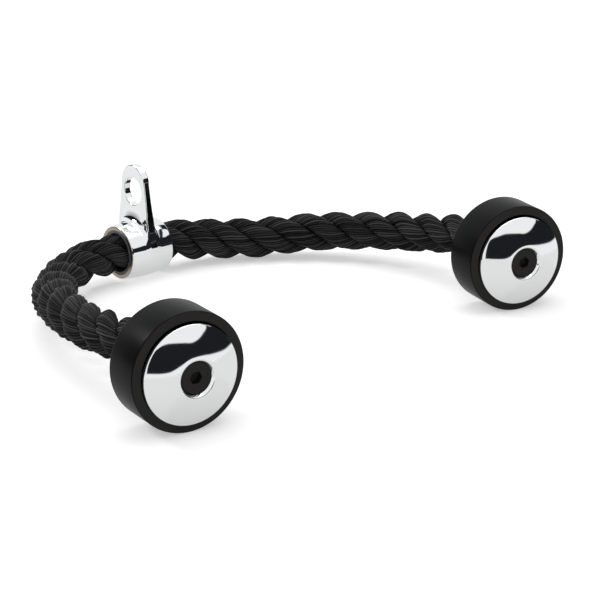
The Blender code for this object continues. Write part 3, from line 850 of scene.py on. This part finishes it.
def add_screw(side, materials):
    """The countersunk screw, from its tip up over its head and down into its hexagon socket."""
    land = HEAD_TOP - HEAD_LAND
    floor = HEAD_TOP - SOCKET_DEPTH
    turn = math.radians(SOCKET_DEGREES[side])

    def hex_radius(angle, half):
        within = (angle + math.pi / 6) % (math.pi / 3) - math.pi / 6
        return half / math.cos(within)

    outline = [
        (0, SCREW_TIP, False),
        (THREAD_RADIUS - THREAD_CHAMFER, SCREW_TIP, False),
        (THREAD_RADIUS, SCREW_TIP + THREAD_CHAMFER, False),
        (THREAD_RADIUS, land - (HEAD_RADIUS - THREAD_RADIUS), False),
        (HEAD_RADIUS, land, False),
        (HEAD_RADIUS, HEAD_TOP - HEAD_EDGE, False),
        (HEAD_RADIUS - HEAD_EDGE_BULGE, HEAD_TOP - HEAD_EDGE_BULGE, False),
        (HEAD_RADIUS - HEAD_EDGE, HEAD_TOP, False),
        (HEAD_RADIUS - FLAT_MARGIN, HEAD_TOP, False),
        (SOCKET_HALF + FLAT_MIDDLE, HEAD_TOP, False),
        (SOCKET_HALF + FLAT_MARGIN, HEAD_TOP, False),
        (SOCKET_HALF + HEAD_EDGE, HEAD_TOP, True),
        (SOCKET_HALF, HEAD_TOP - HEAD_EDGE, True),
        (SOCKET_HALF, floor, True),
        (SOCKET_HALF - SOCKET_STEP, floor, False),
        (0, floor - SOCKET_CONE, False),
    ]
    form = bmesh.new()
    rings = []
    for radius, height, six_sided in outline:
        ring = []
        for step in range(SCREW_STEPS if radius else 1):
            angle = math.tau * step / SCREW_STEPS
            reach = hex_radius(angle, radius) if six_sided else radius
            at = angle + turn
            ring.append(form.verts.new((reach * math.cos(at), reach * math.sin(at), height)))
        rings.append(ring)
    for ring, other in zip(rings, rings[1:]):
        join_rings(form, ring, other)
    place = Matrix.Translation((0, 0, -SCREW_SAG)) @ end_matrix(side)
    piece = finished(form, "socket_screw_" + side, place)
    settle_piece(piece, materials["screw"], side + "_arm", "black_steel", "disc_screw_" + side)


def principled(name, colour, roughness, metallic=0.0, **others):
    """A material with a Principled shader, its node tree, and the shader for what is linked to it later."""
    material = bpy.data.materials.new(name)
    material.use_nodes = True
    tree = material.node_tree
    shader = tree.nodes["Principled BSDF"]
    shader.inputs["Base Color"].default_value = (*colour, 1)
    shader.inputs["Roughness"].default_value = roughness
    shader.inputs["Metallic"].default_value = metallic
    for socket, value in others.items():
        shader.inputs[socket.replace("_", " ")].default_value = value
    return material, tree, shader


def node(tree, kind, **settings):
    """A new node. A setting that the node has no attribute for is the value of its input of that name."""
    made = tree.nodes.new(kind)
    for key, value in settings.items():
        if hasattr(made, key):
            setattr(made, key, value)
        else:
            made.inputs[key.replace("_", " ")].default_value = value
    return made


def math_node(tree, operation, first, second=None, clamp=False):
    made = node(tree, "ShaderNodeMath", operation=operation, use_clamp=clamp)
    for slot, value in enumerate((first, second)):
        if value is None:
            continue
        if isinstance(value, (int, float)):
            made.inputs[slot].default_value = value
        else:
            tree.links.new(value, made.inputs[slot])
    return made.outputs[0]


def ramp(tree, factor, low, high):
    """A value from one number to another as the factor goes from 0 to 1."""
    made = node(tree, "ShaderNodeMapRange", To_Min=low, To_Max=high)
    tree.links.new(factor, made.inputs["Value"])
    return made.outputs[0]


def mixed(tree, factor, first, second):
    """A colour between two, each a tuple or another node's output."""
    made = node(tree, "ShaderNodeMix", data_type="RGBA")
    tree.links.new(factor, made.inputs["Factor"])
    for slot, value in (("A", first), ("B", second)):
        socket = next(s for s in made.inputs if s.name == slot and s.type == "RGBA")
        if isinstance(value, tuple):
            socket.default_value = (*value, 1)
        else:
            tree.links.new(value, socket)
    return next(s for s in made.outputs if s.type == "RGBA")


def times(tree, first, second, clamp=False):
    return math_node(tree, "MULTIPLY", first, second, clamp)


def plus(tree, first, second):
    return math_node(tree, "ADD", first, second)


def minus(tree, first, second, clamp=False):
    return math_node(tree, "SUBTRACT", first, second, clamp)


def mixed_shader(tree, factor, first, second):
    made = node(tree, "ShaderNodeMixShader")
    for slot, value in enumerate((factor, first, second)):
        tree.links.new(value, made.inputs[slot])
    return made.outputs[0]


def object_noise(tree, **settings):
    """Noise that stays with the object as it moves."""
    where = node(tree, "ShaderNodeTexCoord")
    noise = node(tree, "ShaderNodeTexNoise", **settings)
    tree.links.new(where.outputs["Object"], noise.inputs["Vector"])
    return noise.outputs[0]


def add_bump(tree, shader, height, strength, distance):
    bump = node(tree, "ShaderNodeBump", Strength=strength, Distance=distance)
    tree.links.new(height, bump.inputs["Height"])
    tree.links.new(bump.outputs[0], shader.inputs["Normal"])


def rope_material():
    """Black yarns: each with its own tone, with painted shade where two meet, and fine fibres along them."""
    material, tree, shader = principled(
        "rope_yarn", (0.02, 0.02, 0.02), 0.62,
        Sheen_Weight=0.16, Sheen_Roughness=0.25, Sheen_Tint=SHEEN_TINT, Specular_IOR_Level=0.06,
    )
    split = node(tree, "ShaderNodeSeparateXYZ")
    uv = node(tree, "ShaderNodeUVMap", uv_map="yarns")
    tree.links.new(uv.outputs[0], split.inputs[0])
    across, length = split.outputs[0], split.outputs[1]
    number = math_node(tree, "FLOOR", across)
    within = math_node(tree, "FRACT", across)
    # Painted shade: the colour darkens towards each yarn's edges, where it meets the next yarn.
    edge = times(tree, math_node(tree, "ABSOLUTE", minus(tree, within, 0.5)), 2.0)
    gap_shade = math_node(tree, "POWER", edge, GAP_SHADE_POWER)

    tone = node(tree, "ShaderNodeTexWhiteNoise", noise_dimensions="1D")
    tree.links.new(number, tone.inputs["W"])

    place = node(tree, "ShaderNodeCombineXYZ")
    tree.links.new(times(tree, across, FIBRES_ACROSS), place.inputs[0])
    tree.links.new(times(tree, length, FIBRES_ALONG), place.inputs[1])
    fibre = node(tree, "ShaderNodeTexNoise", Scale=1.6, Detail=3.0, Roughness=0.6)
    tree.links.new(place.outputs[0], fibre.inputs["Vector"])
    patches = object_noise(tree, Scale=35.0, Detail=2.0)

    light = times(tree, tone.outputs["Value"], OWN_SHARE)
    light = plus(tree, light, times(tree, fibre.outputs[0], FIBRE_SHARE))
    light = plus(tree, light, times(tree, patches, PATCH_SHARE))
    light = minus(tree, light, TONE_CUT, clamp=True)
    body = mixed(tree, light, YARN_DARK, YARN_LIGHT)
    tree.links.new(mixed(tree, gap_shade, body, YARN_GAP_SHADE), shader.inputs["Base Color"])
    tree.links.new(ramp(tree, fibre.outputs[0], 0.42, 0.66), shader.inputs["Roughness"])
    add_bump(tree, shader, fibre.outputs[0], 0.55, 0.22 * MM)
    return material


def chrome_material():
    """Bright plating, with the faintest polishing marks."""
    material, tree, shader = principled("chrome", (0.87, 0.88, 0.88), 0.045, 1.0)
    haze = object_noise(tree, Scale=60.0, Detail=4.0)
    tree.links.new(ramp(tree, haze, 0.025, 0.075), shader.inputs["Roughness"])
    return material


def rubber_material(name, low, high, gloss):
    """Moulded rubber: satin, with a fine grain and faint smears."""
    material, tree, shader = principled(name, low, 0.42, Specular_IOR_Level=gloss)
    smear = object_noise(tree, Scale=28.0, Detail=5.0, Roughness=0.62)
    tree.links.new(mixed(tree, smear, low, high), shader.inputs["Base Color"])
    tree.links.new(ramp(tree, smear, 0.22, 0.44), shader.inputs["Roughness"])
    add_bump(tree, shader, object_noise(tree, Scale=900.0, Detail=2.0), 0.25, 0.06 * MM)
    return material


def plain_material(name, low, high, roughness, scale, bump_height, metallic=0.0, gloss=0.5):
    """A colour between two tones by noise, with a fine bump."""
    material, tree, shader = principled(name, low, roughness[0], metallic, Specular_IOR_Level=gloss)
    noise = object_noise(tree, Scale=scale, Detail=4.0)
    tree.links.new(mixed(tree, noise, low, high), shader.inputs["Base Color"])
    tree.links.new(ramp(tree, noise, *roughness), shader.inputs["Roughness"])
    add_bump(tree, shader, noise, 0.3, bump_height)
    return material


def make_materials():
    return {
        "rope": rope_material(),
        "chrome": chrome_material(),
        "rubber": rubber_material("rubber_side", (0.0010, 0.0011, 0.0013), (0.0042, 0.0044, 0.0045), 0.055),
        "rubber_front": rubber_material(
            "rubber_front", (0.023, 0.0217, 0.0210), (0.032, 0.0303, 0.0295), 0.05,
        ),
        "liner": plain_material(
            "liner_plastic", (0.066, 0.082, 0.090), (0.092, 0.112, 0.122),
            roughness=(0.38, 0.55), scale=220.0, bump_height=0.05 * MM,
        ),
        "screw": plain_material(
            "black_oxide", (0.009, 0.008, 0.0073), (0.018, 0.0163, 0.015),
            roughness=(0.40, 0.55), scale=400.0, bump_height=0.04 * MM, gloss=0.2,
        ),
        "bare_edge": plain_material(
            "bare_edge", (0.36, 0.29, 0.22), (0.50, 0.42, 0.34),
            roughness=(0.26, 0.36), scale=300.0, bump_height=0.02 * MM, metallic=1.0,
        ),
        "steel": plain_material(
            "machined_steel", (0.42, 0.42, 0.43), (0.56, 0.56, 0.57),
            roughness=(0.28, 0.42), scale=300.0, bump_height=0.03 * MM, metallic=1.0,
        ),
        "tape": plain_material(
            "cloth_tape", (0.020, 0.020, 0.022), (0.045, 0.045, 0.048),
            roughness=(0.6, 0.8), scale=700.0, bump_height=0.08 * MM,
        ),
    }


def part_along(tree, over, up, degrees):
    """How far the point (over, up) lies in this direction."""
    angle = math.radians(degrees)
    return plus(tree, times(tree, over, math.cos(angle)), times(tree, up, math.sin(angle)))


def studio_angles(tree):
    """The azimuth, from the photograph's side, and the elevation that the world is seen in, in degrees."""
    where = node(tree, "ShaderNodeTexCoord")
    split = node(tree, "ShaderNodeSeparateXYZ")
    tree.links.new(where.outputs["Generated"], split.inputs[0])
    x, y, z = split.outputs
    ahead = part_along(tree, x, y, CAMERA_HEADING + 180)
    aside = part_along(tree, x, y, CAMERA_HEADING - 90)
    azimuth = times(tree, math_node(tree, "ARCTAN2", aside, ahead), 180 / math.pi)
    elevation = times(tree, math_node(tree, "ARCSINE", z), 180 / math.pi)
    return azimuth, elevation


def step_up(tree, value, edge, softness=DARK_SOFTNESS):
    """0 below the edge and 1 above it, with a soft step between."""
    return times(tree, minus(tree, value, edge - softness), 0.5 / softness, True)


def step_down(tree, value, edge, softness=DARK_SOFTNESS):
    return minus(tree, 1, step_up(tree, value, edge, softness))


def height_along(tree, azimuth, places):
    """The height, at each azimuth, of a smooth curve through places of (azimuth, height)."""
    curve = node(tree, "ShaderNodeValToRGB")
    curve.color_ramp.interpolation = "CARDINAL"
    stops = curve.color_ramp.elements
    while len(stops) < len(places):
        stops.new(1)
    for stop, (at, height) in zip(stops, places):
        stop.position = (at + CURVE_BELOW) / CURVE_WIDTH
        stop.color = (*[(height + CURVE_BELOW) / CURVE_HEIGHT] * 3, 1)
    at = math_node(tree, "DIVIDE", plus(tree, azimuth, CURVE_BELOW), CURVE_WIDTH, True)
    tree.links.new(at, curve.inputs[0])
    return minus(tree, times(tree, curve.outputs[0], CURVE_HEIGHT), CURVE_BELOW)


def outside_lamp(tree, azimuth, elevation):
    """0 in the lamp that stands in the dark side and 1 outside it."""
    over, up = minus(tree, azimuth, LAMP_AZIMUTH), minus(tree, elevation, LAMP_ELEVATION)

    def share(lean, half):
        apart = math_node(tree, "ABSOLUTE", part_along(tree, over, up, lean))
        return math_node(tree, "DIVIDE", apart, half)

    wide, high = share(LAMP_LEAN, LAMP_HALF_LENGTH), share(LAMP_LEAN + 90, LAMP_HALF_WIDTH)
    corner = math_node(tree, "DIVIDE", plus(tree, wide, high), LAMP_CORNER)
    beyond = math_node(tree, "MAXIMUM", math_node(tree, "MAXIMUM", wide, high), corner)
    return step_up(tree, beyond, 1, LAMP_SOFTNESS)


def dark_share(tree):
    """1 where the mirrored studio is dark and 0 where it is white."""
    azimuth, elevation = studio_angles(tree)
    over_top = minus(tree, elevation, height_along(tree, azimuth, DARK_TOPS))
    over_foot = minus(tree, elevation, height_along(tree, azimuth, DARK_FEET))
    side = times(tree, step_up(tree, azimuth, DARK_FROM), step_down(tree, azimuth, DARK_TO))
    side = times(tree, side, step_down(tree, over_top, 0))
    side = times(tree, side, step_up(tree, over_foot, 0))
    side = times(tree, side, outside_lamp(tree, azimuth, elevation))
    low = step_down(tree, azimuth, LOW_DARK_TO, LOW_DARK_SOFTNESS)
    low = times(tree, low, step_up(tree, azimuth, LOW_DARK_FROM))
    under = step_down(tree, elevation, LOW_DARK_TOP)
    under = times(tree, under, step_up(tree, elevation, LOW_DARK_FOOT, LOW_DARK_SOFTNESS))
    return math_node(tree, "MAXIMUM", side, times(tree, low, under))


def add_world():
    """White for the camera. Mirrors see a studio with dark things in it; plain light falls on the rest."""
    world = bpy.data.worlds.new("studio")
    bpy.context.scene.world = world
    world.use_nodes = True
    tree = world.node_tree
    tree.nodes.clear()
    mirror = node(tree, "ShaderNodeBackground")
    tree.links.new(mixed(tree, dark_share(tree), STUDIO_WHITE, STUDIO_DARK), mirror.inputs["Color"])
    plain = node(tree, "ShaderNodeBackground", Color=(1, 1, 1, 1), Strength=PLAIN_LIGHT)
    white = node(tree, "ShaderNodeBackground", Color=(1, 1, 1, 1), Strength=1.0)
    path = node(tree, "ShaderNodeLightPath")
    lit = mixed_shader(tree, path.outputs["Is Glossy Ray"], plain.outputs[0], mirror.outputs[0])
    shown = mixed_shader(tree, path.outputs["Is Camera Ray"], lit, white.outputs[0])
    out = node(tree, "ShaderNodeOutputWorld")
    tree.links.new(shown, out.inputs[0])


def add_floor():
    """A white floor that is wide enough to fill every view."""
    corners = [(x * FLOOR_HALF, y * FLOOR_HALF, 0) for x, y in ((-1, -1), (1, -1), (1, 1), (-1, 1))]
    floor = mesh_object("floor", corners, [(0, 1, 2, 3)])
    floor.location.z = FLOOR_HEIGHT
    material, tree, shader = principled("floor_paint", (FLOOR_TONE, FLOOR_TONE, FLOOR_TONE), 0.9)
    path = node(tree, "ShaderNodeLightPath")
    to_camera, to_mirror = path.outputs["Is Camera Ray"], path.outputs["Is Glossy Ray"]
    tree.links.new(ramp(tree, to_mirror, FLOOR_TONE, MIRRORED_TONE), shader.inputs["Base Color"])
    where = node(tree, "ShaderNodeNewGeometry")
    far = node(tree, "ShaderNodeVectorMath", operation="DISTANCE")
    tree.links.new(where.outputs["Position"], far.inputs[0])
    distance = far.outputs["Value"]

    away = times(tree, minus(tree, distance, FAR_FROM), 1 / FAR_RUN, True)
    seen = times(tree, to_camera, plus(tree, times(tree, away, FAR_GLOW), FLOOR_GLOW))
    mirrored = times(tree, to_mirror, MIRRORED_GLOW)
    glow = node(tree, "ShaderNodeEmission")
    tree.links.new(plus(tree, seen, mirrored), glow.inputs["Strength"])
    both = node(tree, "ShaderNodeAddShader")
    tree.links.new(shader.outputs[0], both.inputs[0])
    tree.links.new(glow.outputs[0], both.inputs[1])

    beyond = times(tree, minus(tree, distance, MIRRORED_REACH), MIRRORED_FADE, True)
    clear = node(tree, "ShaderNodeBsdfTransparent")
    choice = mixed_shader(tree, times(tree, beyond, to_mirror), both.outputs[0], clear.outputs[0])
    tree.links.new(choice, tree.nodes["Material Output"].inputs[0])
    floor.data.materials.append(material)


def add_lamps():
    for name, place, target, width, power in LAMPS:
        light = bpy.data.lights.new(name, "AREA")
        light.shape = "RECTANGLE"
        light.size = light.size_y = width
        light.energy = power
        lamp = add(name, light)
        lamp.location = place
        way = Vector(target) - Vector(place)
        lamp.rotation_euler = way.to_track_quat("-Z", "Y").to_euler()
        lamp.visible_camera = False


add_camera()
materials = make_materials()
add_rope(materials)
add_hanger(materials)
add_liner(materials)
for end in SIDES:
    add_bumper(end, materials)
    add_disc(end, materials)
    add_screw(end, materials)
    for name, look in INNER_LOOKS:
        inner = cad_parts[name + end].data
        inner.materials.clear()
        inner.materials.append(materials[look])
add_world()
add_floor()
add_lamps()
bpy.context.scene.view_settings.view_transform = "Standard"
